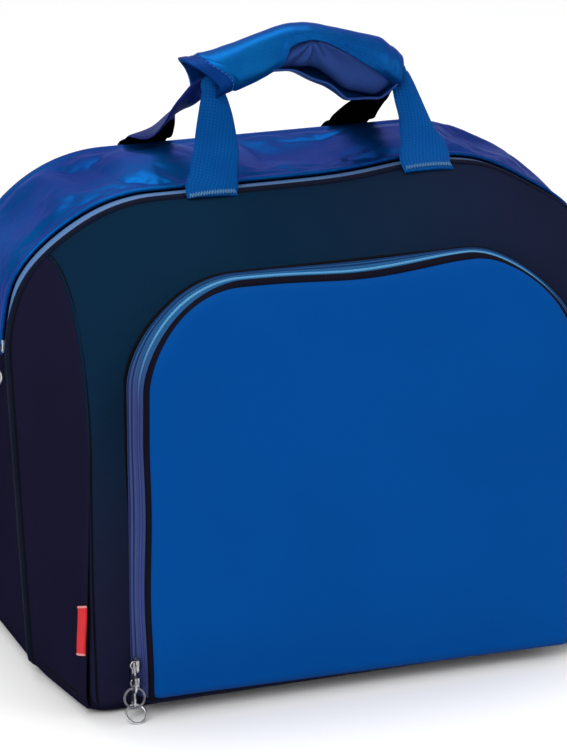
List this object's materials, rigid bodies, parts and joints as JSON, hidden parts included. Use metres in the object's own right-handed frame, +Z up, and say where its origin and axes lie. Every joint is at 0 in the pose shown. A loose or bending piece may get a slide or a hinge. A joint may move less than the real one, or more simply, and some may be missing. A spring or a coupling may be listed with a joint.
{
  "type": "bowling ball bag",
  "caption": "Soft arched carry bag with a bulging front, a zipped front pocket whose panel folds down, a padded top gusset with the main zip, and webbing handles in one padded grip.",
  "frame": {"origin": "centre of the flat base, on the floor", "axes": "+Z up; the front pocket faces -Y; +X is to the right when facing the pocket"},
  "size_m": [0.4626, 0.2566, 0.4491],
  "materials": {
    "navy_fabric": "navy woven polyester, faint twill, soft sheen",
    "blue_fabric": "royal blue coated polyester, even and slightly matte",
    "satin": "shiny padded satin nylon, royal blue",
    "piping": "dark navy corded piping",
    "pale_tape": "glossy light blue tape",
    "zip_tape": "woven zip tape",
    "zip_coil": "nylon zip coil",
    "webbing": "ribbed royal blue webbing",
    "bright_metal": "nickel-plated metal",
    "label": "blank red woven label",
    "board": "black stiffener board",
    "foam": "dark grey soft foam"
  },
  "bodies": {
    "root": {"front_panel": "navy_fabric", "front_side_left": "navy_fabric", "front_side_right": "navy_fabric", "back_panel": "navy_fabric", "side_gusset_left": "navy_fabric", "side_gusset_right": "navy_fabric", "top_gusset": "satin", "front_piping": "piping", "back_piping": "piping", "main_zip_tape_front": "pale_tape", "main_zip_coil": "zip_coil", "main_zip_tape_rear": "zip_tape", "base_panel": "navy_fabric", "base_board": "board", "ball_cradle": "foam", "side_label": "label", "pocket_gusset": "navy_fabric", "pocket_zip_tape_rear": "zip_tape", "pocket_zip_coil_rear": "zip_coil", "pocket_bottom": "navy_fabric", "front_strap_left": "webbing", "front_strap_right": "webbing", "rear_strap_left": "webbing", "rear_strap_right": "webbing"},
    "pocket_flap": {"pocket_panel": "blue_fabric", "pocket_piping": "piping", "pocket_zip_tape_front": "zip_tape", "pocket_zip_coil_front": "zip_coil"},
    "grip": {"grip_wrap": "satin", "front_strap_top": "webbing", "rear_strap_top": "webbing"},
    "grip_flap": {"grip_flap": "satin"},
    "pocket_lower_slider": {"pocket_lower_slider": "bright_metal"},
    "pocket_lower_pull_tab": {"pocket_lower_pull_tab": "bright_metal"},
    "pocket_lower_split_ring": {"pocket_lower_split_ring": "bright_metal"},
    "pocket_upper_slider": {"pocket_upper_slider": "bright_metal"},
    "pocket_upper_pull_tab": {"pocket_upper_pull_tab": "bright_metal"},
    "pocket_upper_split_ring": {"pocket_upper_split_ring": "bright_metal"},
    "main_slider": {"main_slider": "bright_metal"},
    "main_pull_tab": {"main_pull_tab": "bright_metal"},
    "main_split_ring": {"main_split_ring": "bright_metal"}
  },
  "joints": [
    {"name": "pocket_flap_hinge", "type": "hinge", "parent": "root", "child": "pocket_flap", "pos_m": [0, -0.1315, 0.0145], "axis": [1, 0, 0], "range_deg": [0, 80]},
    {"name": "grip_drop", "type": "slide", "parent": "root", "child": "grip", "axis": [0, 0, 1], "range_m": [-0.035, 0], "deforming": ["front_strap_left", "front_strap_right", "rear_strap_left", "rear_strap_right"]},
    {"name": "grip_flap_hinge", "type": "hinge", "parent": "grip", "child": "grip_flap", "pos_m": [0.0175, 0.0251, 0.4226], "axis": [1, 0, 0], "range_deg": [0, 80]},
    {"name": "pocket_lower_slider_travel", "type": "slide", "parent": "root", "child": "pocket_lower_slider", "axis": [0, 0, 1], "range_m": [-0.006, 0]},
    {"name": "pocket_lower_pull_tab_swing", "type": "hinge", "parent": "pocket_lower_slider", "child": "pocket_lower_pull_tab", "pos_m": [-0.1675, -0.12325, 0.027], "axis": [0, 1, 0], "range_deg": [0, 90]},
    {"name": "pocket_lower_split_ring_swing", "type": "hinge", "parent": "pocket_lower_pull_tab", "child": "pocket_lower_split_ring", "pos_m": [-0.1675, -0.12325, 0.0105], "axis": [-1, 0, 0], "range_deg": [-1, 40]},
    {"name": "pocket_upper_slider_travel", "type": "slide", "parent": "root", "child": "pocket_upper_slider", "axis": [0, 0, 1], "range_m": [0, 0.185]},
    {"name": "pocket_upper_pull_tab_swing", "type": "hinge", "parent": "pocket_upper_slider", "child": "pocket_upper_pull_tab", "pos_m": [-0.1675, -0.12325, 0.04], "axis": [0, 0.7431, -0.6691], "range_deg": [-3, 65]},
    {"name": "pocket_upper_split_ring_swing", "type": "hinge", "parent": "pocket_upper_pull_tab", "child": "pocket_upper_split_ring", "pos_m": [-0.1698, -0.13418, 0.02786], "axis": [-0.9903, 0.0931, 0.1034], "range_deg": [-10, 50]},
    {"name": "main_slider_travel", "type": "hinge", "parent": "root", "child": "main_slider", "pos_m": [-0.115, -0.0135, 0.242], "axis": [0, 1, 0], "range_deg": [0, 85]},
    {"name": "main_pull_tab_swing", "type": "hinge", "parent": "main_slider", "child": "main_pull_tab", "pos_m": [-0.2259, -0.0135, 0.245], "axis": [0, 1, 0], "range_deg": [-2, 120]},
    {"name": "main_split_ring_swing", "type": "hinge", "parent": "main_pull_tab", "child": "main_split_ring", "pos_m": [-0.22989, -0.0135, 0.22899], "axis": [-0.9703, 0, 0.2419], "range_deg": [-25, 40]}
  ]
}
